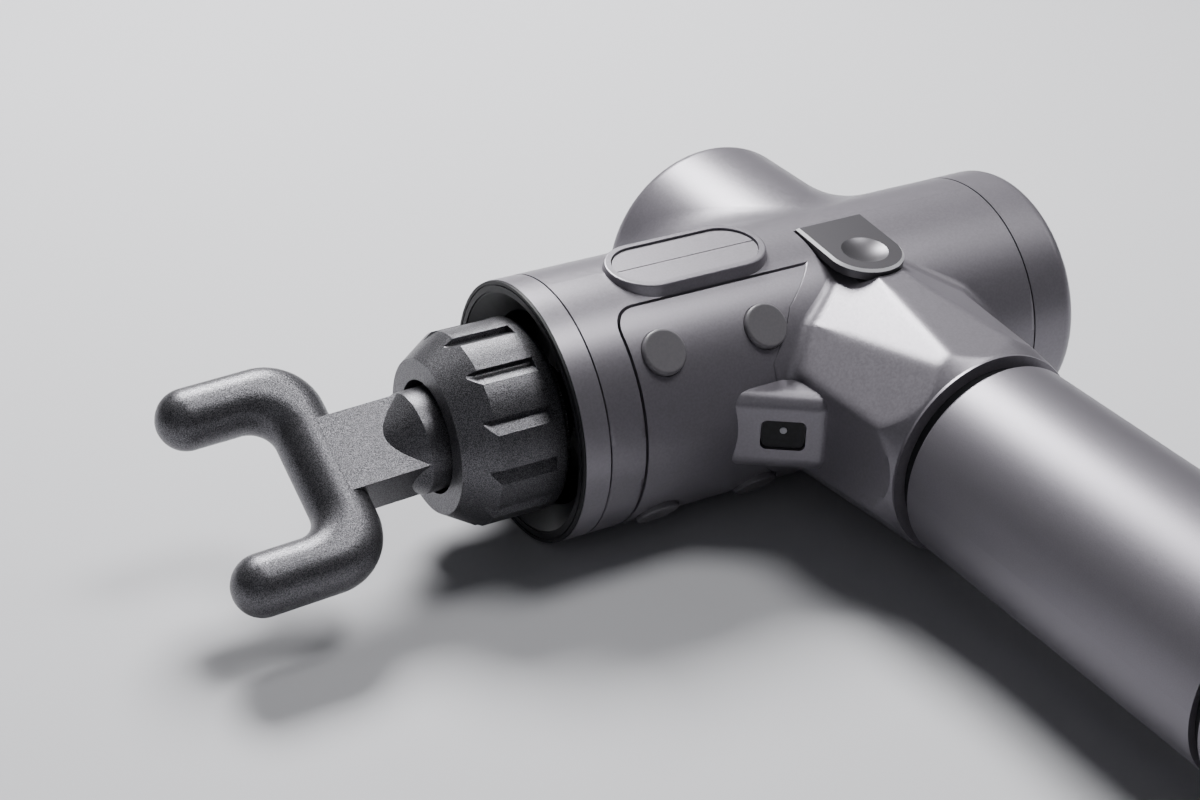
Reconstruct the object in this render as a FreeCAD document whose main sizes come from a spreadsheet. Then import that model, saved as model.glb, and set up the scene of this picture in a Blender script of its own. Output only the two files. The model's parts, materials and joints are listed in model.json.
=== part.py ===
import FreeCAD, Part
import math
import os
import re
import Sketcher
from FreeCAD import Placement, Rotation, Vector

# Percussive massage gun lying on its side.
# X runs forward along the barrel, Y along the handle, Z is up through the gun's side.
# Everything is drawn about the crossing of the two axes and shifted once at the end.

os.makedirs("parts", exist_ok=True)
doc = FreeCAD.newDocument("massage_gun")

SIZES = [
    # name, value in mm or degrees, meaning
    ("shift_x", -49.96, "from the axis crossing to the frame's origin"),
    ("shift_y", -54.25, "from the axis crossing to the frame's origin"),
    ("shift_z", 29.0, "height of both axes above the table"),
    ("barrel_radius", 29.0, "barrel and drum"),
    ("barrel_bore", 26.0, "inside of the barrel shell"),
    ("barrel_front", 71.5, "where the front ring starts"),
    ("mouth_front", 78.2, "front edge of the front ring"),
    ("funnel_end", 73.4, "inner end of the mouth's funnel"),
    ("funnel_radius", 21.6, "its narrowest opening, just over the collar"),
    ("drum_seam", -39.5, "rear end of the casing"),
    ("drum_end", -52.4, "flat rear face"),
    ("rim_round", 3.5, "rounding of drum and bell rims"),
    ("seam_gap", 0.4, "fine dark seams"),
    ("bell_radius", 27.4, "motor bell"),
    ("bell_bore", 24.6, "inside of the bell"),
    ("bell_end", -51.5, "flat outer face of the bell"),
    ("bell_mouth", 22.7, "opening in the bell's face"),
    ("hub_blend", 20.0, "hollow blend between bell and barrel"),
    ("neck_start", -2.0, "root of the faceted neck"),
    ("neck_root_flat", 28.9, "half width over flats at the root"),
    ("neck_tip_flat", 23.6, "half width over flats at the tip"),
    ("neck_facets_end", 58.0, "facets run out here"),
    ("neck_end", 60.6, "end face of the neck"),
    ("neck_end_radius", 23.2, "round end of the neck"),
    ("neck_bore", 20.5, "inside of the neck"),
    ("neck_edge_round", 1.5, "softened facet edges"),
    ("neck_blend", 4.0, "hollow blend between neck and barrel"),
    ("shoulder_angle", 28.0, "lean of the long shoulder facets from the top"),
    ("shoulder_fore", 25.5, "shoulder facets towards the fork, from the axis"),
    ("shoulder_aft", 25.1, "shoulder facets towards the drum, from the axis"),
    ("cover_front", 62.8, "front edge of the under-barrel cover"),
    ("cover_top", 12.2, "long edge of the under-barrel cover"),
    ("cover_corner", 5.0, "its rounded corner"),
    ("cover_gap", 0.7, "its panel gap"),
    ("plug_radius", 5.0, "screw plugs"),
    ("plug_angle", 47.7, "from the top of the barrel"),
    ("plug_fore", 55.5, "front pair"),
    ("plug_aft", 30.3, "rear pair"),
    ("capsule_angle", 4.8, "tilt of the raised frame"),
    ("capsule_mid", 39.0, "centre of the raised frame"),
    ("capsule_half_length", 19.0, "at its flat top"),
    ("capsule_half_width", 8.8, "at its flat top"),
    ("capsule_slope", 1.0, "spread of its base"),
    ("capsule_top", 30.3, "height over the barrel axis"),
    ("panel_half_length", 17.2, "inset panels"),
    ("panel_half_width", 7.2, "inset panels"),
    ("panel_sink", 0.5, "panels lie below the frame's top"),
    ("tab_x", 1.3, "middle of the thumb tab"),
    ("tab_y", 1.9, "straight edge of the thumb tab"),
    ("tab_top", 30.0, "top at the straight edge"),
    ("tab_tilt", 5.05, "slope of the tab in degrees"),
    ("tab_half_width", 8.7, "and radius of its round end"),
    ("tab_length", 22.8, "overall"),
    ("tab_thick", 2.4, "plate"),
    ("tab_travel", 0.6, "press"),
    ("dimple_radius", 5.2, "thumb dimple"),
    ("dimple_depth", 1.1, "thumb dimple"),
    ("block_x", 33.5, "middle of the trigger housing's face"),
    ("block_y", 34.0, "middle of the trigger housing's face"),
    ("block_angle", 34.4, "trigger housing's face from the barrel axis"),
    ("block_half_height", 9.2, "trigger housing"),
    ("block_round", 3.6, "trigger housing edges"),
    ("key_width", 9.0, "trigger key"),
    ("key_height", 6.4, "trigger key"),
    ("key_thick", 1.6, "trigger key"),
    ("key_sink", 0.6, "trigger key below the face"),
    ("key_shift", 0.7, "key centre towards the handle"),
    ("handle_start", 63.8, "upper end of the handle"),
    ("handle_radius", 22.5, "handle sleeve"),
    ("handle_wall", 1.6, "handle sleeve"),
    ("handle_seam", 145.8, "lower end of the sleeve"),
    ("cap_gap", 2.4, "dark ring between sleeve and bottom cap"),
    ("handle_end", 160.0, "bottom face"),
    ("cap_round", 4.0, "bottom cap edge"),
    ("collar_radius", 21.2, "lock collar"),
    ("collar_rear", 77.0, "lock collar"),
    ("collar_shoulder", 92.9, "start of its cone"),
    ("collar_front", 99.9, "front face"),
    ("collar_face_radius", 16.9, "front face"),
    ("collar_bore", 12.4, "front opening"),
    ("collar_cavity", 17.4, "room for the chuck"),
    ("groove_count", 12, "grip grooves"),
    ("groove_rear", 80.2, "closed end of a groove"),
    ("groove_depth", 1.35, "grip grooves"),
    ("shank_radius", 7.0, "fork shank and plunger"),
    ("root_radius", 11.1, "round root of the fork"),
    ("root_front", 104.2, "end of the round root"),
    ("root_tip", 111.6, "tip of its cone"),
    ("stem_half_width", 8.9, "flat stem"),
    ("stem_half_thick", 6.3, "flat stem"),
    ("fork_bar", 124.3, "middle of the cross bar"),
    ("fork_half_span", 19.9, "middle of each tine"),
    ("bend_outside", 12.7, "outer radius of the bends"),
    ("bend_inside", 5.0, "inner radius of the bends"),
    ("tine_radius", 6.45, "tines and cross bar"),
    ("tine_end", 145.7, "centre of each round tip"),
    ("fork_edge_round", 6.3, "rounding that makes the fork's bar almost round"),
    ("fork_turn", -30.75, "turn of the fork about the barrel axis"),
    ("fork_lean", 2.37, "the fork sits a little askew in its chuck"),
    ("lean_centre", 90.0, "inside the chuck"),
    ("crank_throw", 6.0, "half the head's stroke"),
]

sheet = doc.addObject("Spreadsheet::Sheet", "dims")
for row, (alias, number, note) in enumerate(SIZES, start=1):
    sheet.set(f"A{row}", alias)
    sheet.set(f"B{row}", str(number))
    sheet.setAlias(f"B{row}", alias)
    sheet.set(f"C{row}", note)
doc.recompute()

WORD = re.compile(r"[a-z]+(?:_[a-z]+)+")
nodes = []


def size(alias):
    """Number behind a spreadsheet alias."""
    return float(getattr(sheet, alias))


def link(text):
    """Turn 'barrel_radius - 1' into an expression on the spreadsheet."""
    return WORD.sub(lambda word: "dims." + word.group(0), str(text))


def bind(thing, **links):
    for prop, text in links.items():
        thing.setExpression(prop.replace("__", "."), link(text))
    return thing


def finish(thing, label):
    """Name a finished node and put it into the shared frame."""
    thing.Label = label
    own = {path.lstrip("."): text for path, text in thing.ExpressionEngine}
    for letter in "xyz":
        path = f"Placement.Base.{letter}"
        thing.setExpression(path, f"dims.shift_{letter} + ({own.get(path, '0')})")
    nodes.append(thing)
    return thing


def origin_plane(body, role):
    return next(item for item in body.Origin.OriginFeatures if item.Role == role)


def outline_sketch(body, name, corners, role="XY_Plane", offset=None):
    """Closed polygon sketch; every corner is held by two spreadsheet-driven distances."""
    sketch = body.newObject("Sketcher::SketchObject", name)
    sketch.AttachmentSupport = [(origin_plane(body, role), "")]
    sketch.MapMode = "FlatFace"
    if offset is not None:
        sketch.setExpression("AttachmentOffset.Base.z", link(offset))
    count = len(corners)
    ring = [
        Vector(math.cos(2 * math.pi * step / count), math.sin(2 * math.pi * step / count), 0)
        for step in range(count)
    ]
    for step in range(count):
        sketch.addGeometry(Part.LineSegment(ring[step], ring[(step + 1) % count]), False)
    for step in range(count):
        sketch.addConstraint(Sketcher.Constraint("Coincident", step, 2, (step + 1) % count, 1))
    for step, corner in enumerate(corners):
        for kind, text, start in zip(("DistanceX", "DistanceY"), corner, ring[step]):
            index = sketch.addConstraint(Sketcher.Constraint(kind, -1, 1, step, 1, start))
            sketch.setExpression(f"Constraints[{index}]", link(text))
    return sketch


def spun(name, axis, outline):
    """Solid of revolution about X or Y; outline holds (along, radius) pairs."""
    body = doc.addObject("PartDesign::Body", name)
    corners = outline if axis == "x" else [(radius, along) for along, radius in outline]
    sketch = outline_sketch(body, name + "_outline", corners)
    turn = body.newObject("PartDesign::Revolution", name + "_turn")
    turn.Profile = sketch
    turn.ReferenceAxis = (sketch, ["H_Axis" if axis == "x" else "V_Axis"])
    turn.Angle = 360
    body.Tip = turn
    doc.recompute()
    return body


def soften(body, name, radius, wanted):
    """Fillet the edges of a body that pass a test."""
    tip = body.Tip
    edges = [f"Edge{i}" for i, edge in enumerate(tip.Shape.Edges, start=1) if wanted(edge)]
    feature = body.newObject("PartDesign::Fillet", name)
    feature.Base = (tip, edges)
    bind(feature, Radius=radius)
    body.Tip = feature
    doc.recompute()
    return body


def ring_at(axis, along, radius):
    """Edge test: full circle about the axis at a position and radius."""
    pick = {"x": 0, "y": 1}[axis]

    def wanted(edge):
        curve = edge.Curve
        if not isinstance(curve, Part.Circle):
            return False
        return abs(curve.Center[pick] - along) < 0.01 and abs(curve.Radius - radius) < 0.01

    return wanted


TURNS = {"x": Rotation(Vector(0, 1, 0), 90), "y": Rotation(Vector(1, 0, 0), -90), "z": Rotation()}


def rod(name, axis, start, end, radius, across=("0", "0")):
    """Cylinder along an axis; across gives its centre on the two other axes."""
    thing = doc.addObject("Part::Cylinder", name)
    thing.Placement = Placement(Vector(), TURNS[axis])
    bind(thing, Radius=radius, Height=f"({end}) - ({start})")
    others = [letter for letter in "xyz" if letter != axis]
    links = {f"Placement__Base__{axis}": start}
    for letter, text in zip(others, across):
        links[f"Placement__Base__{letter}"] = text
    return bind(thing, **links)


def block(name, low, high):
    """Box between two corners."""
    thing = doc.addObject("Part::Box", name)
    for prop, near, far in zip(("Length", "Width", "Height"), low, high):
        bind(thing, **{prop: f"({far}) - ({near})"})
    return bind(thing, Placement__Base__x=low[0], Placement__Base__y=low[1], Placement__Base__z=low[2])


def union(name, *things):
    thing = doc.addObject("Part::MultiFuse", name)
    thing.Shapes = list(things)
    return thing


def group(name, *things):
    """Separate equal solids kept in one node."""
    thing = doc.addObject("Part::Compound", name)
    thing.Links = list(things)
    return thing


def minus(name, base, *tools):
    thing = doc.addObject("Part::Cut", name)
    thing.Base = base
    thing.Tool = tools[0] if len(tools) == 1 else union(name + "_tools", *tools)
    return thing


def feature(name, shape):
    """Shape made by Part functions where sketches and primitives do not fit."""
    where = shape.Placement.toMatrix()
    plain = shape.copy()
    plain.Placement = Placement()
    thing = doc.addObject("Part::Feature", name)
    thing.Shape = plain.transformed(where, True)
    return thing


def cylinder(axis, start, end, radius):
    direction = {"x": Vector(1, 0, 0), "y": Vector(0, 1, 0), "z": Vector(0, 0, 1)}[axis]
    return Part.makeCylinder(radius, end - start, direction * start, direction)


def prism(corners, bottom, top):
    wire = Part.makePolygon([Vector(x, y, bottom) for x, y in corners + corners[:1]])
    return Part.Face(wire).extrude(Vector(0, 0, top - bottom))


def biggest(shape):
    return max(shape.Solids, key=lambda solid: solid.Volume)


# ---------------------------------------------------------------- outer hull

def neck_solid(grow=0.0):
    """Eight-sided tapering neck with softened edges and a turned end."""
    start, stop = size("neck_start"), size("neck_end")
    root, tip = size("neck_root_flat") + grow, size("neck_tip_flat") + grow
    slope = (root - tip) / (size("neck_facets_end") - start)
    sections = []
    for along, flat in ((start, root), (stop, root - slope * (stop - start))):
        reach = flat / math.cos(math.pi / 8)
        corners = [
            Vector(reach * math.sin(angle), along, reach * math.cos(angle))
            for angle in (math.pi / 8 + math.pi / 4 * step for step in range(9))
        ]
        sections.append(Part.makePolygon(corners))
    body = Part.makeLoft(sections, True, True)
    lean = math.radians(size("shoulder_angle"))
    for side, depth in ((1, size("shoulder_fore")), (-1, size("shoulder_aft"))):
        for up in (1, -1):
            out = Vector(side * math.sin(lean), 0.01, up * math.cos(lean)).normalize()
            slab = Part.makeBox(160, 160, 40, Vector(-80, -80, 0))
            slab.Placement = Placement(out * (depth + grow), Rotation(Vector(0, 0, 1), out))
            body = body.cut(slab)
    long_edges = [edge for edge in body.Edges if abs(edge.tangentAt(edge.FirstParameter).y) > 0.9]
    body = body.makeFillet(size("neck_edge_round"), long_edges)
    end_radius = size("neck_end_radius") + grow
    profile = [(start - 1, 0), (start - 1, 40), (36, 40), (55, end_radius + 2.5), (stop - 0.6, end_radius)]
    profile += [(stop, end_radius), (stop, 0)]
    points = [Vector(radius, along, 0) for along, radius in profile]
    points.append(points[0])
    turned = Part.Face(Part.makePolygon(points)).revolve(Vector(), Vector(0, 1, 0), 360)
    return body.common(turned)


def rounded_bell(radius, end, rounding):
    body = cylinder("y", end, 0, radius)
    rim = [edge for edge in body.Edges if ring_at("y", end, radius)(edge)]
    return body.makeFillet(rounding, rim)


def crossing_edges(body, side):
    """Edges of a fused hull that lie on the barrel's surface on one side of it."""
    found = []
    for edge in body.Edges:
        first, last = edge.FirstParameter, edge.LastParameter
        points = [edge.valueAt(first + (last - first) * step / 4) for step in range(5)]
        on_barrel = all(abs(math.hypot(point.y, point.z) - size("barrel_radius")) < 0.05 for point in points)
        is_rim = isinstance(edge.Curve, Part.Circle) and abs(edge.Curve.Axis.x) > 0.99
        if on_barrel and not is_rim and points[2].y * side > 3:
            found.append(edge)
    return found


barrel = cylinder("x", size("drum_seam"), size("barrel_front"), size("barrel_radius"))
bell = rounded_bell(size("bell_radius"), size("bell_end"), size("rim_round"))
cross = barrel.fuse(bell)
cross = cross.makeFillet(size("hub_blend"), crossing_edges(cross, -1))
neck = neck_solid()
hull = cross.fuse(neck)
hull = hull.makeFillet(size("neck_blend"), crossing_edges(hull, 1))

inside = cylinder("x", size("drum_seam") - 1, size("barrel_front") + 1, size("barrel_bore"))
inside = inside.fuse(cylinder("y", size("bell_end") + 2.6, 0, size("bell_bore")))
inside = inside.fuse(cylinder("y", size("bell_end") - 1, 0, size("bell_mouth")))
inside = inside.fuse(cylinder("y", 0, size("neck_end") + 1, size("neck_bore")))
shell = hull.cut(inside)

# under-barrel cover: a saddle of the barrel wall below a U-shaped panel line

def cover_prism(grow):
    front, top = size("cover_front") + grow, size("cover_top") - grow
    slab = Part.makeBox(front - 4, 60, 80, Vector(4, top, -40))
    corner = [
        edge for edge in slab.Edges
        if abs(edge.CenterOfMass.x - front) < 0.01 and abs(edge.CenterOfMass.y - top) < 0.01
    ]
    return slab.makeFillet(size("cover_corner") + grow, corner)


def tube_between(inner, outer):
    front = size("barrel_front")
    return cylinder("x", 0, front - 1, outer).cut(cylinder("x", -1, front, inner))


gap = size("cover_gap")
bore = size("barrel_bore")
root_room = size("neck_blend") + 0.3
cover_room = tube_between(bore - 1, size("barrel_radius") + 1).common(cover_prism(gap))
shell = shell.cut(cover_room.cut(neck_solid(root_room)))
cover = tube_between(bore + 0.2, size("barrel_radius")).common(cover_prism(0))
cover = cover.cut(neck_solid(root_room + 0.15))
cover = biggest(cover)

plug_spots = [
    (along, angle)
    for along in (size("plug_fore"), size("plug_aft"))
    for angle in (size("plug_angle"), 180 - size("plug_angle"))
]


def radial(along, angle, low, high, radius):
    """Cylinder standing on the barrel; the angle is measured from the top."""
    lean = math.radians(angle)
    out = Vector(0, math.sin(lean), math.cos(lean))
    return Part.makeCylinder(radius, high - low, Vector(along, 0, 0) + out * low, out)


plug_radius = size("plug_radius")
for along, angle in plug_spots:
    cover = cover.cut(radial(along, angle, 27.4, 32, plug_radius + 0.15))
    shell = shell.cut(radial(along, angle, 27.35, 34, plug_radius + 0.2))
    cover = cover.cut(radial(along, angle, 20, 32, 1.7))
plugs = [radial(along, angle, 27.5, 30.0, plug_radius) for along, angle in plug_spots]
plugs = [plug.makeFillet(0.6, [plug.Edges[0]]) for plug in plugs]
screws = [
    radial(along, angle, 26.3, 27.4, 1.6).fuse(radial(along, angle, 21, 26.3, 1.3))
    for along, angle in plug_spots
]

# thumb tab pocket, trigger housing and capsule seat

tab_frame = Placement(
    Vector(size("tab_x"), size("tab_y"), size("tab_top")),
    Rotation(Vector(1, 0, 0), -size("tab_tilt")),
)


def tab_shape(grow, low, high):
    """U-shaped plate in the tab's own tilted frame."""
    half = size("tab_half_width") + grow
    straight = size("tab_length") - size("tab_half_width")
    plate = Part.makeBox(2 * half, straight + grow, high - low, Vector(-half, -grow, low))
    round_end = Part.makeCylinder(half, high - low, Vector(0, straight, low))
    return plate.fuse(round_end).removeSplitter()


def in_tab_frame(shape):
    moved = shape.copy()
    moved.Placement = tab_frame.multiply(moved.Placement)
    return moved


tab_floor = -size("tab_thick") - size("tab_travel") - 0.3
shell = shell.cut(in_tab_frame(tab_shape(0.35, tab_floor, 5)))
switch_spot = size("tab_length") - size("tab_half_width")
switch_pocket = Part.makeBox(6.4, 6.4, 2.4, Vector(-3.2, switch_spot - 3.2, tab_floor - 2.3))
shell = shell.cut(in_tab_frame(switch_pocket))

block_turn = math.radians(size("block_angle"))
block_middle = Vector(size("block_x"), size("block_y"), 0)
block_out = Vector(math.sin(block_turn), math.cos(block_turn), 0)
block_along = Vector(-math.cos(block_turn), math.sin(block_turn), 0)
half_height = size("block_half_height")


def on_block(along, out):
    point = block_middle + block_along * along + block_out * out
    return (point.x, point.y)


block_corners = [on_block(-11.5, 0), on_block(9.3, 0), on_block(12, -2), (18, 38), (18, 20), (40, 20)]
housing = prism(block_corners, -half_height, half_height)


def on_front(edge):
    middle = edge.CenterOfMass
    return abs((middle - block_middle).dot(block_out)) < 0.7 or abs(abs(middle.z) - half_height) < 0.01


housing = housing.makeFillet(size("block_round"), [edge for edge in housing.Edges if on_front(edge)])
housing = housing.cut(hull)
face_frame = Placement(
    block_middle + block_along * size("key_shift"),
    Rotation(Vector(0, 0, 1), 90 - size("block_angle")),
)


def on_face(width, height, near, far):
    """Box set into the trigger housing's face, depths measured inwards."""
    slab = Part.makeBox(far - near, width, height, Vector(-far, -width / 2, -height / 2))
    slab = slab.makeFillet(min(1.4, height / 4), [
        edge for edge in slab.Edges if abs(edge.tangentAt(edge.FirstParameter).x) > 0.9
    ])
    slab.Placement = face_frame
    return slab


key_depth = size("key_sink") + size("key_thick")
housing = housing.cut(on_face(size("key_width") + 0.6, size("key_height") + 0.6, -2, key_depth + 0.7))
housing = housing.cut(on_face(3.6, 4.6, 0, 4.8))
housing = biggest(housing)

# casing screws and their bosses

boss_spots = [(-30, 17), (-30, -17), (-13, 29), (13, 29)]
for x, y in boss_spots:
    post = Part.makeCylinder(3.8, 50, Vector(x, y, -25)).common(inside)
    shell = shell.fuse(post)
for x, y in boss_spots:
    shell = shell.cut(Part.makeCylinder(1.6, 22, Vector(x, y, -14)))
    shell = shell.cut(Part.makeCylinder(3.3, 30, Vector(x, y, -42)))
casing_screws = [
    Part.makeCylinder(3.0, 1.8, Vector(x, y, -13.9)).fuse(Part.makeCylinder(1.5, 18, Vector(x, y, -12.2)))
    for x, y in boss_spots
]
shell = shell.removeSplitter()

upper_space = Part.makeBox(300, 300, 60, Vector(-150, -150, 0))
lower_space = Part.makeBox(300, 300, 60, Vector(-150, -150, -60))
finish(feature("casing_left_shape", biggest(shell.common(upper_space))), "casing_left")
finish(feature("casing_right_shape", biggest(shell.common(lower_space))), "casing_right")
finish(feature("cover_shape", cover), "barrel_under_cover")
finish(feature("plug_shapes", Part.makeCompound(plugs)), "screw_plugs")
finish(feature("cover_screw_shapes", Part.makeCompound(screws)), "cover_screws")
finish(feature("casing_screw_shapes", Part.makeCompound(casing_screws)), "casing_screws")
finish(feature("trigger_housing_shape", housing), "trigger_housing")

# ---------------------------------------------------------------- barrel trim

front_ring = spun("front_ring_body", "x", [
    ("barrel_front + seam_gap", "barrel_radius - 1.9"),
    ("barrel_front + seam_gap", "barrel_radius"),
    ("mouth_front - 0.6", "barrel_radius"),
    ("mouth_front - 0.6", "barrel_radius - 1.9"),
])
finish(front_ring, "front_ring")

nose_bezel = spun("nose_bezel_body", "x", [
    ("barrel_front - 11.5", "barrel_bore - 2.6"),
    ("barrel_front - 11.5", "barrel_bore - 0.05"),
    ("barrel_front + seam_gap", "barrel_bore - 0.05"),
    ("barrel_front + seam_gap", "barrel_radius - 1.95"),
    ("mouth_front - 0.55", "barrel_radius - 1.95"),
    ("mouth_front - 0.55", "barrel_radius - 0.1"),
    ("mouth_front", "barrel_radius - 0.1"),
    ("mouth_front", "barrel_radius - 0.8"),
    ("mouth_front - 0.3", "barrel_radius - 0.8"),
    ("mouth_front - 0.3", "barrel_radius - 1.1"),
    ("mouth_front", "barrel_radius - 1.1"),
    ("mouth_front", "barrel_radius - 2.3"),
    ("mouth_front - 0.3", "barrel_radius - 2.3"),
    ("mouth_front - 0.3", "barrel_radius - 2.7"),
    ("funnel_end", "funnel_radius"),
    ("funnel_end - 1.0", "funnel_radius"),
    ("funnel_end - 1.0", "barrel_bore - 2.6"),
])
finish(nose_bezel, "nose_bezel")

dust_seal = spun("dust_seal_body", "x", [
    ("barrel_front - 11.0", "shank_radius + 0.6"),
    ("barrel_front - 11.0", "barrel_bore - 2.65"),
    ("barrel_front - 9.4", "barrel_bore - 2.65"),
    ("barrel_front - 9.4", "shank_radius + 9"),
    ("barrel_front - 10.2", "shank_radius + 7"),
    ("barrel_front - 9.2", "shank_radius + 4"),
    ("barrel_front - 9.2", "shank_radius + 0.6"),
])
finish(dust_seal, "dust_seal")

# raised obround frame, tilted a little about the barrel axis

capsule_turn = Rotation(Vector(1, 0, 0), -size("capsule_angle"))


def obround(half_length, half_width, height):
    """Flat closed wire with round ends at a height over the axis."""
    straight = half_length - half_width
    mid = size("capsule_mid")
    spots = [
        (straight, -half_width), (half_length, 0), (straight, half_width),
        (-straight, half_width), (-half_length, 0), (-straight, -half_width),
    ]
    points = [Vector(mid + u, v, height) for u, v in spots]
    edges = [
        Part.Arc(points[0], points[1], points[2]).toShape(),
        Part.makeLine(points[2], points[3]),
        Part.Arc(points[3], points[4], points[5]).toShape(),
        Part.makeLine(points[5], points[0]),
    ]
    return Part.Wire(edges)


def turned(shape):
    moved = shape.copy()
    moved.Placement = Placement(Vector(), capsule_turn)
    return moved


def obround_block(half_length, half_width, low, high, spread=0.0):
    return Part.makeLoft([
        obround(half_length + spread, half_width + spread, low),
        obround(half_length, half_width, high),
    ], True, True)


top = size("capsule_top")
length, width = size("capsule_half_length"), size("capsule_half_width")
frame_block = obround_block(length, width, 24.0, top, size("capsule_slope"))
rim_edges = [edge for edge in frame_block.Edges if abs(edge.CenterOfMass.z - top) < 0.01]
frame_block = frame_block.makeFillet(0.5, rim_edges)
barrel_cut = cylinder("x", 0, 80, size("barrel_radius") + 0.02)
panel_length, panel_width = size("panel_half_length"), size("panel_half_width")
recess = obround_block(panel_length + 0.25, panel_width + 0.25, top - 2.2, top + 1)
capsule_frame = turned(frame_block.cut(recess)).cut(barrel_cut)
finish(feature("capsule_frame_shape", biggest(capsule_frame)), "capsule_frame")
panel_block = obround_block(panel_length, panel_width, 24.0, top - size("panel_sink"))
for label, low in (("capsule_panel_upper", -20.0), ("capsule_panel_lower", 0.15)):
    half = panel_block.common(Part.makeBox(60, 19.85, 20, Vector(10, low, 20)))
    half = turned(half).cut(barrel_cut)
    finish(feature(label + "_shape", biggest(half)), label)

# thumb tab with its dimple

tab_plate = tab_shape(0, -size("tab_thick"), 0)
tab_rim = [edge for edge in tab_plate.Edges if abs(edge.CenterOfMass.z) < 0.01]
tab_plate = tab_plate.makeChamfer(0.55, tab_rim)
dimple_radius, dimple_depth = size("dimple_radius"), size("dimple_depth")
ball_radius = (dimple_radius ** 2 + dimple_depth ** 2) / (2 * dimple_depth)
ball = Part.makeSphere(ball_radius, Vector(0, switch_spot, ball_radius - dimple_depth))
tab_plate = tab_plate.cut(ball)
finish(feature("thumb_tab_shape", in_tab_frame(tab_plate)), "thumb_tab")
switch_body = Part.makeBox(6, 6, 2, Vector(-3, switch_spot - 3, tab_floor - 2.2))
finish(feature("tab_switch_shape", in_tab_frame(switch_body)), "tab_switch")

# trigger key, its lamp and switch

key = on_face(size("key_width"), size("key_height"), size("key_sink"), key_depth)
lamp = Part.makeCylinder(0.75, 1.2, Vector(-size("key_sink") - 1.0, 0, 1.0), Vector(1, 0, 0))
lamp.Placement = face_frame.multiply(lamp.Placement)
finish(feature("trigger_key_shape", key.cut(lamp)), "trigger_key")
finish(feature("trigger_lamp_shape", lamp), "trigger_lamp")
finish(feature("trigger_switch_shape", on_face(3.2, 4.2, 3.2, 4.6)), "trigger_switch")

# ---------------------------------------------------------------- rear drum

drum_cap = spun("drum_cap_body", "x", [
    ("drum_seam - seam_gap", "barrel_bore + 0.2"),
    ("drum_seam - seam_gap", "barrel_radius"),
    ("drum_end", "barrel_radius"),
    ("drum_end", "11.05"),
    ("drum_end + 1.4", "11.05"),
    ("drum_end + 1.4", "8.95"),
    ("drum_end", "8.95"),
    ("drum_end", "7.35"),
    ("drum_end + 2.5", "7.35"),
    ("drum_end + 2.5", "barrel_bore + 0.2"),
])
rim = ring_at("x", size("drum_end"), size("barrel_radius"))
soften(drum_cap, "drum_cap_rim", "rim_round", rim)
finish(drum_cap, "drum_cap")

finish(spun("drum_spigot_body", "x", [
    ("drum_seam - 3.5", "barrel_bore - 1.6"),
    ("drum_seam - 3.5", "barrel_bore - 0.05"),
    ("drum_seam + 3.5", "barrel_bore - 0.05"),
    ("drum_seam + 3.5", "barrel_bore - 1.6"),
]), "drum_spigot_ring")

finish(spun("light_ring_body", "x", [
    ("drum_end", "9.0"),
    ("drum_end", "11.0"),
    ("drum_end + 1.4", "11.0"),
    ("drum_end + 1.4", "9.0"),
]), "light_ring")

rear_button = spun("rear_button_body", "x", [
    ("drum_end - 0.6", "0"),
    ("drum_end - 0.6", "7.0"),
    ("drum_end + 2.9", "7.0"),
    ("drum_end + 2.9", "8.4"),
    ("drum_end + 3.9", "8.4"),
    ("drum_end + 3.9", "2.0"),
    ("drum_end + 6.6", "2.0"),
    ("drum_end + 6.6", "0"),
])
soften(rear_button, "rear_button_edge", "0.6", ring_at("x", size("drum_end") - 0.6, 7.0))
finish(rear_button, "rear_button")

finish(rod("board_disc", "x", "drum_end + 9.4", "drum_end + 11.0", "barrel_bore - 2"), "control_board")
finish(block(
    "rear_switch_box",
    ("drum_end + 7.6", "-3", "-3"),
    ("drum_end + 9.4", "3", "3"),
), "rear_switch")
chips = [
    block(f"chip_{index}", ("drum_end + 11", y, z), ("drum_end + 13", f"{y} + 7", f"{z} + 9"))
    for index, (y, z) in enumerate((("-12", "-4"), ("4", "-14"), ("4", "5")))
]
finish(group("board_chips", *chips), "control_chips")

# ---------------------------------------------------------------- motor in the bell

bell_disc = rod("bell_disc", "y", "bell_end", "bell_end + 2.4", "bell_mouth - 0.1")
slots = []
for index in range(12):
    slot = block(f"vent_{index}", ("9", "bell_end - 1", "-0.9"), ("19", "bell_end + 4", "0.9"))
    holder = doc.addObject("Part::Compound", f"vent_turn_{index}")
    holder.Links = [slot]
    holder.Placement = Placement(Vector(), Rotation(Vector(0, 1, 0), 30 * index))
    slots.append(holder)
finish(minus("bell_grille", bell_disc, *slots), "bell_cap")

motor_can = spun("motor_can_body", "y", [
    ("bell_end + 4.5", "2.8"),
    ("bell_end + 4.5", "21"),
    ("bell_end + 36", "21"),
    ("bell_end + 36", "19.5"),
    ("bell_end + 6", "19.5"),
    ("bell_end + 6", "2.8"),
])
finish(motor_can, "motor_can")
finish(spun("motor_stator_body", "y", [
    ("bell_end + 9", "11.6"),
    ("bell_end + 9", "19.4"),
    ("bell_end + 33", "19.4"),
    ("bell_end + 33", "11.6"),
]), "motor_stator")
finish(spun("motor_rotor_body", "y", [
    ("bell_end + 10", "2.5"),
    ("bell_end + 10", "11.0"),
    ("bell_end + 32", "11.0"),
    ("bell_end + 32", "2.5"),
]), "motor_rotor")
finish(rod("shaft_rod", "y", "bell_end + 3.2", "-6.5", "2.5"), "motor_shaft")
finish(spun("motor_plate_body", "y", [
    ("-15", "6.05"),
    ("-15", "bell_bore - 0.1"),
    ("-12.5", "bell_bore - 0.1"),
    ("-12.5", "6.05"),
]), "motor_plate")
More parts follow.
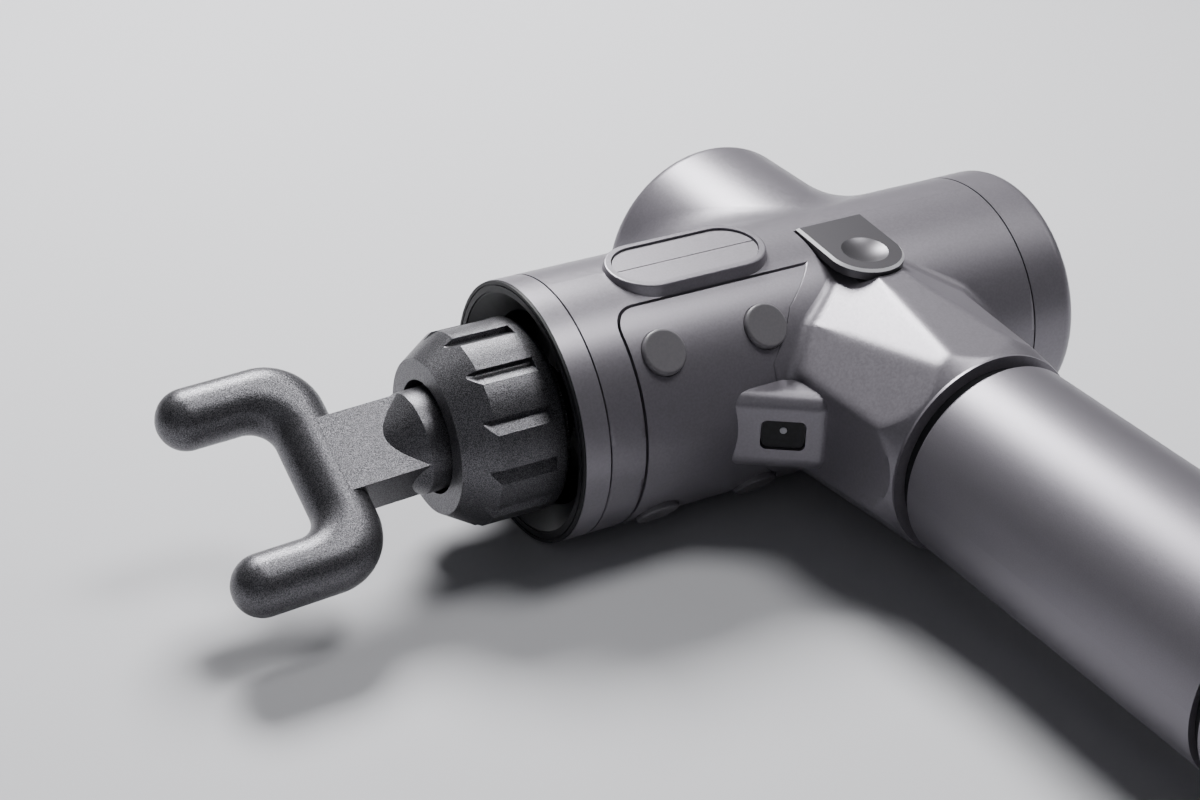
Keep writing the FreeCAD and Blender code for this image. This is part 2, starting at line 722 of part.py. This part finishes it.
finish(spun("main_bearing_body", "y", [
    ("-15.4", "2.55"),
    ("-15.4", "6.0"),
    ("-12.1", "6.0"),
    ("-12.1", "2.55"),
]), "main_bearing")

# crank: disc with counterweight, pin and roller

crank_hub = rod("crank_hub", "y", "-10.5", "-7.4", "9.4")
weight = rod("crank_weight", "y", "-10.5", "-7.4", "13.5")
weight_side = block("crank_weight_side", ("-20", "-12", "-20"), ("20", "0", "-2"))
weight_half = doc.addObject("Part::Common", "crank_weight_half")
weight_half.Base = weight
weight_half.Tool = weight_side
shaft_hole = rod("crank_shaft_hole", "y", "-12", "-5", "2.5")
pin_hole = rod("crank_pin_hole", "y", "-12", "-5", "2.5", ("0", "crank_throw"))
finish(minus("crank", union("crank_body", crank_hub, weight_half), shaft_hole, pin_hole), "crank_disc")
finish(rod("pin_rod", "y", "-10.5", "5.6", "2.5", ("0", "crank_throw")), "crank_pin")
roller_tyre = rod("roller_tyre", "y", "-4.4", "4.4", "5.0", ("0", "crank_throw"))
roller_bore = rod("roller_bore", "y", "-6", "6", "2.55", ("0", "crank_throw"))
finish(minus("roller", roller_tyre, roller_bore), "crank_roller")

# slotted yoke and plunger

yoke_block = block("yoke_block", ("-10.4", "-5", "-15.5"), ("10.4", "5", "15.5"))
yoke_slot = block("yoke_slot", ("-6.4", "-6", "-11.7"), ("6.4", "6", "11.7"))
finish(minus("yoke_cut", yoke_block, yoke_slot), "slotted_yoke")
finish(rod("plunger_rod", "x", "10.4", "barrel_front - 1.5", "shank_radius"), "plunger_shaft")

frame_ring = spun("drive_frame_body", "x", [
    ("26", "23.4"),
    ("26", "barrel_bore - 0.1"),
    ("59", "barrel_bore - 0.1"),
    ("59", "23.4"),
    ("47", "23.4"),
    ("47", "13"),
    ("50", "13"),
    ("50", "9.2"),
    ("36", "9.2"),
    ("36", "13"),
    ("40", "13"),
    ("40", "23.4"),
])
thread_holes = feature("cover_threads", Part.makeCompound([
    radial(along, angle, 18, 30, 1.3) for along, angle in plug_spots
]))
finish(minus("drive_frame_cut", frame_ring, thread_holes), "drive_frame")
finish(spun("guide_bush_body", "x", [
    ("35", "shank_radius + 0.06"),
    ("35", "9.2"),
    ("51", "9.2"),
    ("51", "shank_radius + 0.06"),
]), "guide_bush")

# ---------------------------------------------------------------- chuck, collar and fork

finish(spun("chuck_core_body", "x", [
    ("barrel_front - 1.5", "0"),
    ("barrel_front - 1.5", "9.5"),
    ("collar_rear + 0.5", "9.5"),
    ("collar_rear + 0.5", "collar_cavity - 0.4"),
    ("collar_front - 5.9", "collar_cavity - 0.4"),
    ("collar_front - 5.9", "shank_radius + 0.06"),
    ("86.0", "shank_radius + 0.06"),
    ("86.0", "shank_radius + 1.6"),
    ("84.0", "shank_radius + 1.6"),
    ("84.0", "shank_radius + 0.06"),
    ("75.0", "shank_radius + 0.06"),
    ("75.0", "0"),
]), "chuck_core")
finish(spun("grip_ring_body", "x", [
    ("84.1", "shank_radius + 0.15"),
    ("84.1", "shank_radius + 1.5"),
    ("85.9", "shank_radius + 1.5"),
    ("85.9", "shank_radius + 0.15"),
]), "shank_grip_ring")
finish(spun("snap_ring_body", "x", [
    ("collar_rear - 1.3", "9.5"),
    ("collar_rear - 1.3", "18.6"),
    ("collar_rear - 0.4", "18.6"),
    ("collar_rear - 0.4", "9.5"),
]), "snap_ring")

collar = spun("collar_body", "x", [
    ("collar_rear", "collar_cavity"),
    ("collar_rear", "collar_radius"),
    ("collar_shoulder", "collar_radius"),
    ("collar_front", "collar_face_radius"),
    ("collar_front", "collar_bore"),
    ("collar_front - 4.6", "collar_bore"),
    ("collar_front - 4.6", "collar_cavity"),
])
soften(collar, "collar_rear_round", "1.2", ring_at("x", size("collar_rear"), size("collar_radius")))
groove_sketch = outline_sketch(collar, "groove_outline", [
    ("-1.2", "collar_radius + 1.5"),
    ("-1.2", "collar_radius - groove_depth"),
    ("-0.5", "collar_radius - groove_depth"),
    ("2.8", "collar_radius + 0.1"),
    ("2.8", "collar_radius + 1.5"),
], role="YZ_Plane", offset="collar_front - 3.5")
before = collar.Tip.Shape.Volume
groove = collar.newObject("PartDesign::Pocket", "grip_groove")
groove.Profile = groove_sketch
bind(groove, Length="collar_front - 3.5 - groove_rear")
collar.Tip = groove
doc.recompute()
if before - groove.Shape.Volume < 10:
    groove.Reversed = not groove.Reversed
    doc.recompute()
pattern = collar.newObject("PartDesign::PolarPattern", "grip_grooves")
pattern.Originals = [groove]
pattern.Axis = (groove_sketch, ["N_Axis"])
pattern.Angle = 360
bind(pattern, Occurrences="groove_count")
collar.Tip = pattern
doc.recompute()
finish(collar, "lock_collar")

# fork: U of round bar with ball tips, flat stem, coned root and shank

bar, span, tine = size("fork_bar"), size("fork_half_span"), size("tine_radius")
bend_out, bend_in, tip = size("bend_outside"), size("bend_inside"), size("tine_end")


def fork_outline():
    """Closed outline of the U, seen from above."""
    outer_side, inner_side = span + tine, span - tine
    back, front = bar - tine, bar + tine
    diagonal = Vector(-math.sqrt(0.5), math.sqrt(0.5), 0)
    outer_middle = Vector(back + bend_out, outer_side - bend_out, 0)
    inner_middle = Vector(front + bend_in, inner_side - bend_in, 0)
    upper = [
        [Vector(back, 0, 0), Vector(back, outer_middle.y, 0)],
        [
            Vector(back, outer_middle.y, 0),
            outer_middle + diagonal * bend_out,
            Vector(outer_middle.x, outer_side, 0),
        ],
        [Vector(outer_middle.x, outer_side, 0), Vector(tip, outer_side, 0)],
        [Vector(tip, outer_side, 0), Vector(tip + tine, span, 0), Vector(tip, inner_side, 0)],
        [Vector(tip, inner_side, 0), Vector(inner_middle.x, inner_side, 0)],
        [
            Vector(inner_middle.x, inner_side, 0),
            inner_middle + diagonal * bend_in,
            Vector(front, inner_middle.y, 0),
        ],
        [Vector(front, inner_middle.y, 0), Vector(front, 0, 0)],
    ]
    lower = [[Vector(point.x, -point.y, 0) for point in run[::-1]] for run in upper[::-1]]
    # the straight back and front of the bar run through to the other half
    upper[0][0] = lower[-1][0]
    upper[-1][1] = lower[0][1]
    edges = []
    for run in upper + lower[1:-1]:
        edges.append(Part.Arc(*run).toShape() if len(run) == 3 else Part.makeLine(*run))
    return Part.Wire(edges)


fork_plate = Part.Face(fork_outline()).extrude(Vector(0, 0, 2 * tine))
fork_plate.translate(Vector(0, 0, -tine))
rims = [edge for edge in fork_plate.Edges if edge.BoundBox.ZLength < 0.01]
fork = fork_plate.makeFillet(size("fork_edge_round"), rims)
half_wide, half_thick = size("stem_half_width"), size("stem_half_thick")
stem_rear = size("collar_front") - 5.0
fork = fork.fuse(Part.makeBox(
    bar - stem_rear, 2 * half_wide, 2 * half_thick, Vector(stem_rear, -half_wide, -half_thick)
))
root_radius, root_front = size("root_radius"), size("root_front")
fork = fork.fuse(cylinder("x", stem_rear, root_front, root_radius))
fork = fork.fuse(Part.makeCone(
    root_radius, 6.0, size("root_tip") - root_front, Vector(root_front, 0, 0), Vector(1, 0, 0)
))
fork.rotate(Vector(size("lean_centre"), 0, 0), Vector(0, 0, 1), size("fork_lean"))
fork = fork.fuse(cylinder("x", 75.6, stem_rear + 2, size("shank_radius")))
fork.Placement = Placement(Vector(), Rotation(Vector(1, 0, 0), size("fork_turn"))).multiply(fork.Placement)
finish(feature("fork_shape", fork), "fork_head")

# ---------------------------------------------------------------- handle

finish(spun("neck_socket_body", "y", [
    ("36", "0"),
    ("36", "neck_bore - 0.1"),
    ("handle_start - 0.4", "neck_bore - 0.1"),
    ("handle_start - 0.4", "17.4"),
    ("38", "17.4"),
    ("38", "0"),
]), "neck_socket")
blades = [block(f"blade_{x}", (str(x), "38", "-3"), (f"{x} + 1.2", "46", "3")) for x in (-7, -1, 5)]
finish(group("socket_blades", *blades), "socket_contacts")

sleeve = spun("handle_sleeve_body", "y", [
    ("handle_start", "handle_radius - handle_wall"),
    ("handle_start", "handle_radius"),
    ("handle_seam", "handle_radius"),
    ("handle_seam", "handle_radius - handle_wall"),
])
soften(sleeve, "sleeve_edge", "0.6", ring_at("y", size("handle_start"), size("handle_radius")))
finish(sleeve, "handle_sleeve")

finish(spun("handle_top_body", "y", [
    ("50", "0"),
    ("50", "17.0"),
    ("handle_start", "17.0"),
    ("handle_start", "handle_radius - handle_wall - 0.05"),
    ("handle_start + 3.2", "handle_radius - handle_wall - 0.05"),
    ("handle_start + 3.2", "15"),
    ("53", "15"),
    ("53", "0"),
]), "handle_spigot")
clips = [block(f"clip_{x}", (f"{x} - 0.9", "48", "-3"), (f"{x} - 0.1", "50", "3")) for x in (-7, -1, 5)]
finish(group("spigot_clips", *clips), "battery_contacts")

cell_angles = (90, 210, 330)
cells = [
    rod(f"cell_{angle}", "y", "71", "136", "9.1", (
        f"{10.65 * math.cos(math.radians(angle)):.3f}",
        f"{10.65 * math.sin(math.radians(angle)):.3f}",
    ))
    for angle in cell_angles
]
finish(group("cells", *cells), "battery_cells")
for label, low, high in (("cell_holder_top", "67.5", "70.8"), ("cell_holder_bottom", "136.2", "139.5")):
    disc = rod(label + "_disc", "y", low, high, "handle_radius - handle_wall - 0.1")
    holes = [
        rod(f"{label}_hole_{angle}", "y", f"{low} - 1", f"{high} + 1", "6.5", (
            f"{10.65 * math.cos(math.radians(angle)):.3f}",
            f"{10.65 * math.sin(math.radians(angle)):.3f}",
        ))
        for angle in cell_angles
    ]
    finish(minus(label + "_cut", disc, *holes), label)
finish(rod("battery_disc", "y", "140.3", "141.9", "handle_radius - handle_wall - 1.2"), "battery_board")

bottom_cap = spun("bottom_cap_body", "y", [
    ("handle_seam + cap_gap", "handle_radius - 3.4"),
    ("handle_seam + cap_gap", "handle_radius"),
    ("handle_end", "handle_radius"),
    ("handle_end", "5.1"),
    ("handle_end - 2.6", "5.1"),
    ("handle_end - 2.6", "handle_radius - 3.4"),
])
soften(bottom_cap, "bottom_cap_round", "cap_round", ring_at("y", size("handle_end"), size("handle_radius")))
screw_angles = (30, 150, 270)
cap_holes = [
    rod(f"cap_hole_{angle}", "y", "handle_end - 4", "handle_end + 1", "1.6", (
        f"{14.5 * math.cos(math.radians(angle)):.3f}",
        f"{14.5 * math.sin(math.radians(angle)):.3f}",
    ))
    for angle in screw_angles
]
finish(minus("bottom_cap_cut", bottom_cap, *cap_holes), "bottom_cap")
cap_screws = [
    rod(f"cap_screw_{angle}", "y", "143", "handle_end - 0.6", "1.5", (
        f"{14.5 * math.cos(math.radians(angle)):.3f}",
        f"{14.5 * math.sin(math.radians(angle)):.3f}",
    ))
    for angle in screw_angles
]
finish(group("cap_screw_group", *cap_screws), "cap_screws")
finish(spun("charge_inlet_body", "y", [
    ("handle_end - 12", "0"),
    ("handle_end - 12", "5.0"),
    ("handle_end - 0.3", "5.0"),
    ("handle_end - 0.3", "2.8"),
    ("handle_end - 10", "2.8"),
    ("handle_end - 10", "1.0"),
    ("handle_end - 2", "1.0"),
    ("handle_end - 2", "0"),
]), "charge_inlet")
finish(spun("seam_ring_body", "y", [
    ("handle_seam - 3.4", "handle_radius - 3.3"),
    ("handle_seam - 3.4", "handle_radius - 1.65"),
    ("handle_seam + cap_gap - 0.05", "handle_radius - 1.65"),
    ("handle_seam + cap_gap - 0.05", "handle_radius - 3.3"),
]), "handle_seam_ring")

# ---------------------------------------------------------------- checks and export

doc.recompute()
for thing in doc.Objects:
    state = set(thing.State)
    if state & {"Invalid", "Error"}:
        raise RuntimeError(f"{thing.Label}: {sorted(state)}")
for thing in nodes:
    if thing.Shape.isNull() or not thing.Shape.isValid():
        raise RuntimeError(f"{thing.Label}: bad shape")

span_box = FreeCAD.BoundBox()
for thing in nodes:
    span_box.add(thing.Shape.BoundBox)
    thing.Shape.exportStep(f"parts/{thing.Label}.step")
print(len(nodes), "nodes")
print("x", round(span_box.XMin, 3), round(span_box.XMax, 3))
print("y", round(span_box.YMin, 3), round(span_box.YMax, 3))
print("z", round(span_box.ZMin, 3), round(span_box.ZMax, 3))
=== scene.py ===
import json
import math

import bpy
from mathutils import Matrix, Vector


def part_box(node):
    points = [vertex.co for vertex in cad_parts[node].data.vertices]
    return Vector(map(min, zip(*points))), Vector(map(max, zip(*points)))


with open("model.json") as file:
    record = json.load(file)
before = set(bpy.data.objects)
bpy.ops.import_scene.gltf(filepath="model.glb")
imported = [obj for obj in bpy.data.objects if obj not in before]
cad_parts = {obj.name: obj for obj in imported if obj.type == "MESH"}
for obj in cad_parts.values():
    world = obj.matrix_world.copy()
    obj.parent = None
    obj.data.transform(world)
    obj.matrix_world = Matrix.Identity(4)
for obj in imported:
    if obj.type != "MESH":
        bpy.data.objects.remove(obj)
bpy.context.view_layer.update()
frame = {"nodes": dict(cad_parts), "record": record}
nodes = frame["nodes"]
scene = bpy.context.scene

# Sockets of a colour mix node, which share their names with its other data types.
MIX_FACTOR, MIX_FIRST, MIX_SECOND, MIX_RESULT = 0, 6, 7, 2

# Depths of the surface textures, in metres.
CASTING_GRAIN = 0.00007
PLASTIC_GRAIN = 0.00001
RUBBER_GRAIN = 0.00002
PLATE_GRAIN = 0.000006
BRUSHED_GRAIN = 0.000004
MACHINED_GRAIN = 0.000005

# Soft facets of the neck, in metres: the width of a rounded edge, the stretch of neck that has them,
# measured back from the handle sleeve, and the half width left sharp along the casing's seam.
FACET_EDGE = 0.0035
FACET_LENGTH = 0.039
SEAM_MARGIN = 0.005


# ---------------------------------------------------------------- materials

def scaled(color, factor):
    return tuple(min(1, channel * factor) for channel in color)


class Shader:
    """Small helper around one node material."""

    def __init__(self, name, color, roughness, metallic=0.0, coat=0.0, coat_roughness=0.3):
        self.material = bpy.data.materials.new(name)
        self.material.use_nodes = True
        self.tree = self.material.node_tree
        self.shader = self.tree.nodes["Principled BSDF"]
        self.shader.inputs["Base Color"].default_value = (*color, 1.0)
        self.shader.inputs["Roughness"].default_value = roughness
        self.shader.inputs["Metallic"].default_value = metallic
        self.shader.inputs["Coat Weight"].default_value = coat
        self.shader.inputs["Coat Roughness"].default_value = coat_roughness
        self.coords = self.add("ShaderNodeTexCoord")
        self.normal = None

    def add(self, kind, **settings):
        node = self.tree.nodes.new(kind)
        for key, value in settings.items():
            setattr(node, key, value)
        return node

    def join(self, source, target):
        self.tree.links.new(source, target)

    def noise(self, scale, detail=2.0, stretch=(1, 1, 1), roughness=0.5):
        mapping = self.add("ShaderNodeMapping")
        mapping.inputs["Scale"].default_value = stretch
        self.join(self.coords.outputs["Object"], mapping.inputs["Vector"])
        noise = self.add("ShaderNodeTexNoise")
        noise.inputs["Scale"].default_value = scale
        noise.inputs["Detail"].default_value = detail
        noise.inputs["Roughness"].default_value = roughness
        self.join(mapping.outputs["Vector"], noise.inputs["Vector"])
        return noise.outputs["Fac"]

    def ramp(self, source, low, high, start=0.35, end=0.65):
        mapped = self.add("ShaderNodeMapRange")
        mapped.inputs["From Min"].default_value = start
        mapped.inputs["From Max"].default_value = end
        mapped.inputs["To Min"].default_value = low
        mapped.inputs["To Max"].default_value = high
        self.join(source, mapped.inputs["Value"])
        return mapped.outputs["Result"]

    def multiply(self, first, second):
        node = self.add("ShaderNodeMath", operation="MULTIPLY")
        self.join(first, node.inputs[0])
        self.join(second, node.inputs[1])
        return node.outputs["Value"]

    def tint(self, source, dark, light):
        mix = self.add("ShaderNodeMix", data_type="RGBA")
        mix.inputs[MIX_FIRST].default_value = (*dark, 1.0)
        mix.inputs[MIX_SECOND].default_value = (*light, 1.0)
        self.join(source, mix.inputs[MIX_FACTOR])
        self.join(mix.outputs[MIX_RESULT], self.shader.inputs["Base Color"])

    def vary_roughness(self, source, low, high):
        self.join(self.ramp(source, low, high), self.shader.inputs["Roughness"])

    def bump(self, source, distance, strength):
        node = self.add("ShaderNodeBump")
        node.inputs["Distance"].default_value = distance
        node.inputs["Strength"].default_value = strength
        self.join(source, node.inputs["Height"])
        if self.normal is not None:
            self.join(self.normal, node.inputs["Normal"])
        self.normal = node.outputs["Normal"]
        self.join(self.normal, self.shader.inputs["Normal"])


def soft_facets(made, sleeve):
    """Round the shading of the facet edges on the neck, which ends at the sleeve."""
    low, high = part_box(sleeve)
    axes = made.add("ShaderNodeSeparateXYZ")
    made.join(made.coords.outputs["Object"], axes.inputs["Vector"])
    along = axes.outputs["Y"]
    root_start, root_end = low.y - FACET_LENGTH, low.y - FACET_LENGTH * 0.82
    tip_start, tip_end = low.y - 0.0055, low.y - 0.0040
    past_root = made.ramp(along, 0, FACET_EDGE, root_start, root_end)
    before_tip = made.ramp(along, 1, 0, tip_start, tip_end)
    near_seam = made.add("ShaderNodeMath", operation="COMPARE")
    made.join(axes.outputs["Z"], near_seam.inputs[0])
    near_seam.inputs[1].default_value = (low.z + high.z) / 2
    near_seam.inputs[2].default_value = SEAM_MARGIN
    off_seam = made.ramp(near_seam.outputs["Value"], 1, 0, 0, 1)
    edge = made.add("ShaderNodeBevel", samples=8)
    radius = made.multiply(made.multiply(past_root, before_tip), off_seam)
    made.join(radius, edge.inputs["Radius"])
    made.normal = edge.outputs["Normal"]


def satin(name, color, roughness, metallic=0.0, facets_to=None):
    """Fine-grained moulding; facets_to names the piece at which its soft facets end."""
    made = Shader(name, color, roughness, metallic=metallic, coat=0.10, coat_roughness=0.38)
    if facets_to:
        soft_facets(made, facets_to)
    cloud = made.noise(1800, detail=3)
    made.tint(made.ramp(cloud, 0, 1), scaled(color, 0.94), scaled(color, 1.06))
    made.vary_roughness(cloud, roughness - 0.03, roughness + 0.03)
    made.bump(made.noise(5200, detail=1), PLASTIC_GRAIN, 0.5)
    return made.material


def textured_cast(name, dark, light, roughness):
    """Sand-textured casting with a fine sparkle."""
    made = Shader(name, dark, roughness, metallic=0.7)
    fine = made.noise(4800, detail=1, roughness=0.6)
    sparkle = made.noise(8000, detail=1)
    made.tint(made.ramp(fine, 0, 1, 0.40, 0.62), dark, light)
    made.vary_roughness(sparkle, roughness - 0.08, roughness + 0.10)
    made.bump(fine, CASTING_GRAIN, 0.85)
    return made.material


def edged_plate(name, color, painted_glint_color, node):
    """Dark round-ended plate whose outer chamfer carries a painted highlight, a light grey tint
    standing in for the lamp's glint; its dimple keeps the plate's dark colour.
    """
    low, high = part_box(node)
    half = (high.x - low.x) / 2
    dimple = (low.x + half, high.y - half, high.z)
    flat_roughness, bevel_roughness = 0.36, 0.50
    made = Shader(name, color, flat_roughness, metallic=0.8)
    slope = made.add("ShaderNodeSeparateXYZ")
    made.join(made.coords.outputs["Normal"], slope.inputs["Vector"])
    away = made.add("ShaderNodeVectorMath", operation="DISTANCE")
    made.join(made.coords.outputs["Object"], away.inputs[0])
    away.inputs[1].default_value = dimple
    tilted = made.ramp(slope.outputs["Z"], 1, 0, 0.92, 0.97)
    lifted = made.ramp(slope.outputs["Z"], 0, 1, 0.10, 0.25)
    outside = made.ramp(away.outputs["Value"], 0, 1, half * 0.80, half * 0.84)
    # Mask of the painted highlight: the chamfer round the plate, away from the dimple, gets the
    # light grey glint colour.
    painted_glint = made.multiply(made.multiply(tilted, lifted), outside)
    made.tint(painted_glint, color, painted_glint_color)
    rougher = made.ramp(painted_glint, flat_roughness, bevel_roughness, 0, 1)
    made.join(rougher, made.shader.inputs["Roughness"])
    made.bump(made.noise(4800, detail=1), PLATE_GRAIN, 0.5)
    return made.material


def brushed(name, color, roughness, metallic):
    """Fine anodised metal."""
    made = Shader(name, color, roughness, metallic=metallic)
    grain = made.noise(4800, detail=2)
    made.vary_roughness(grain, roughness - 0.04, roughness + 0.06)
    made.tint(made.ramp(grain, 0, 1), scaled(color, 0.92), scaled(color, 1.05))
    made.bump(grain, BRUSHED_GRAIN, 0.5)
    return made.material


def matt(name, color, roughness):
    """Dull plastic or rubber."""
    made = Shader(name, color, roughness)
    made.shader.inputs["Specular IOR Level"].default_value = 0.25
    cloud = made.noise(900, detail=2)
    made.tint(made.ramp(cloud, 0, 1), scaled(color, 0.8), scaled(color, 1.2))
    made.bump(made.noise(2500), RUBBER_GRAIN, 0.5)
    return made.material


def metal(name, color, roughness):
    """Bare metal with fine turning lines."""
    made = Shader(name, color, roughness, metallic=1.0)
    lines = made.noise(500, detail=3, stretch=(1, 12, 12))
    made.vary_roughness(lines, roughness - 0.08, roughness + 0.1)
    made.bump(lines, MACHINED_GRAIN, 0.3)
    return made.material


def board(name):
    """Green circuit board with a tracery of lighter tracks."""
    made = Shader(name, (0.02, 0.14, 0.07), 0.35, coat=0.4)
    tracks = made.add("ShaderNodeTexVoronoi", distance="CHEBYCHEV")
    tracks.inputs["Scale"].default_value = 420
    made.join(made.coords.outputs["Object"], tracks.inputs["Vector"])
    lines = made.ramp(tracks.outputs["Distance"], 0, 1, 0.3, 0.5)
    made.tint(lines, (0.015, 0.10, 0.05), (0.03, 0.20, 0.09))
    return made.material


body_color = (0.180, 0.169, 0.191)
finishes = {
    "body_soft": satin("body_soft", body_color, 0.37, metallic=0.5),
    "hull_soft": satin("hull_soft", body_color, 0.37, metallic=0.5, facets_to="handle_sleeve"),
    "ring_light": satin("ring_light", (0.205, 0.193, 0.217), 0.36, metallic=0.5),
    "panel_grey": satin("panel_grey", (0.235, 0.222, 0.247), 0.39, metallic=0.5),
    # black_trim is the near-black trim colour; on the bezel's front face and the ring in the neck's
    # gap it is also painted shade.
    "black_trim": matt("black_trim", (0.009, 0.009, 0.011), 0.5),
    "seal_rubber": matt("seal_rubber", (0.030, 0.030, 0.032), 0.55),
    "plug_rubber": satin("plug_rubber", (0.105, 0.099, 0.110), 0.45),
    "cast_dark": textured_cast("cast_dark", (0.040, 0.039, 0.044), (0.170, 0.167, 0.180), 0.34),
    # The tab's light grey (0.78, 0.77, 0.80) is a painted highlight on its chamfer.
    "tab_metal": edged_plate("tab_metal", (0.105, 0.101, 0.110), (0.78, 0.77, 0.80), "thumb_tab"),
    "handle_metal": brushed("handle_metal", (0.190, 0.180, 0.202), 0.42, metallic=0.7),
    "steel": metal("steel", (0.55, 0.55, 0.57), 0.28),
    "alloy": metal("alloy", (0.66, 0.66, 0.68), 0.36),
    "copper_steel": metal("copper_steel", (0.55, 0.27, 0.14), 0.4),
    "bronze": metal("bronze", (0.55, 0.38, 0.17), 0.38),
    "gold_contact": metal("gold_contact", (0.83, 0.62, 0.25), 0.22),
    "board_green": board("board_green"),
    "chip_black": matt("chip_black", (0.02, 0.02, 0.02), 0.45),
    "lens_clear": satin("lens_clear", (0.30, 0.30, 0.33), 0.3),
    "cell_wrap": satin("cell_wrap", (0.05, 0.24, 0.34), 0.3),
    "nylon": satin("nylon", (0.72, 0.71, 0.66), 0.5),
}

faceted = ("casing_left", "casing_right")
for part in frame["record"]["subparts"]:
    piece = nodes[part["node"]]
    slot = "hull_soft" if part["node"] in faceted else part["material_slot"]
    piece.data.materials.clear()
    piece.data.materials.append(finishes[slot])

# ---------------------------------------------------------------- stage, light and camera

floor_drop = 0.0003
bpy.ops.mesh.primitive_plane_add(size=6, location=(0, 0, -floor_drop))
floor = bpy.context.object
floor.name = "floor"
pale = Shader("pale_floor", (0.50, 0.50, 0.52), 0.8)
pale.tint(pale.noise(3, detail=2), (0.48, 0.48, 0.50), (0.53, 0.53, 0.55))
floor.data.materials.append(pale.material)

light_target = Vector((-0.01, -0.01, 0.03))


def softbox(name, direction, distance, width, power, color=(1, 1, 1)):
    """Round area light aimed at the middle of the part."""
    data = bpy.data.lights.new(name, "AREA")
    data.shape = "DISK"
    data.size = width
    data.energy = power
    data.color = color
    lamp = bpy.data.objects.new(name, data)
    scene.collection.objects.link(lamp)
    out = Vector(direction).normalized()
    lamp.location = light_target + out * distance
    lamp.rotation_euler = (-out).to_track_quat("-Z", "Y").to_euler()


softbox("key", (-0.12, -0.80, 0.85), distance=0.85, width=0.34, power=17)
softbox("fill", (0.9, 0.9, 0.9), distance=1.6, width=1.2, power=1.3, color=(0.94, 0.96, 1.0))
softbox("top", (-0.32, 0.05, 0.95), distance=0.9, width=0.32, power=5)
softbox("rim", (-0.9, 0.15, 0.70), distance=1.2, width=0.5, power=1.5)

world = bpy.data.worlds.new("studio")
scene.world = world
world.use_nodes = True
background = world.node_tree.nodes["Background"]
background.inputs["Color"].default_value = (0.9, 0.92, 1.0, 1)
background.inputs["Strength"].default_value = 0.08

camera_place = (0.21123, 0.29124, 0.25844)
camera_sight = Vector((-0.4391, -0.7462, -0.5004))
camera_roll = Matrix.Rotation(math.radians(1.535), 4, "Z")
camera_data = bpy.data.cameras.new("camera")
camera_data.sensor_width = 36
camera_data.lens = 63.35
camera_data.clip_start = 0.01
camera = bpy.data.objects.new("camera", camera_data)
scene.collection.objects.link(camera)
scene.camera = camera
camera.location = camera_place
aim = camera_sight.to_track_quat("-Z", "Y").to_matrix().to_4x4()
camera.rotation_euler = (aim @ camera_roll).to_euler()
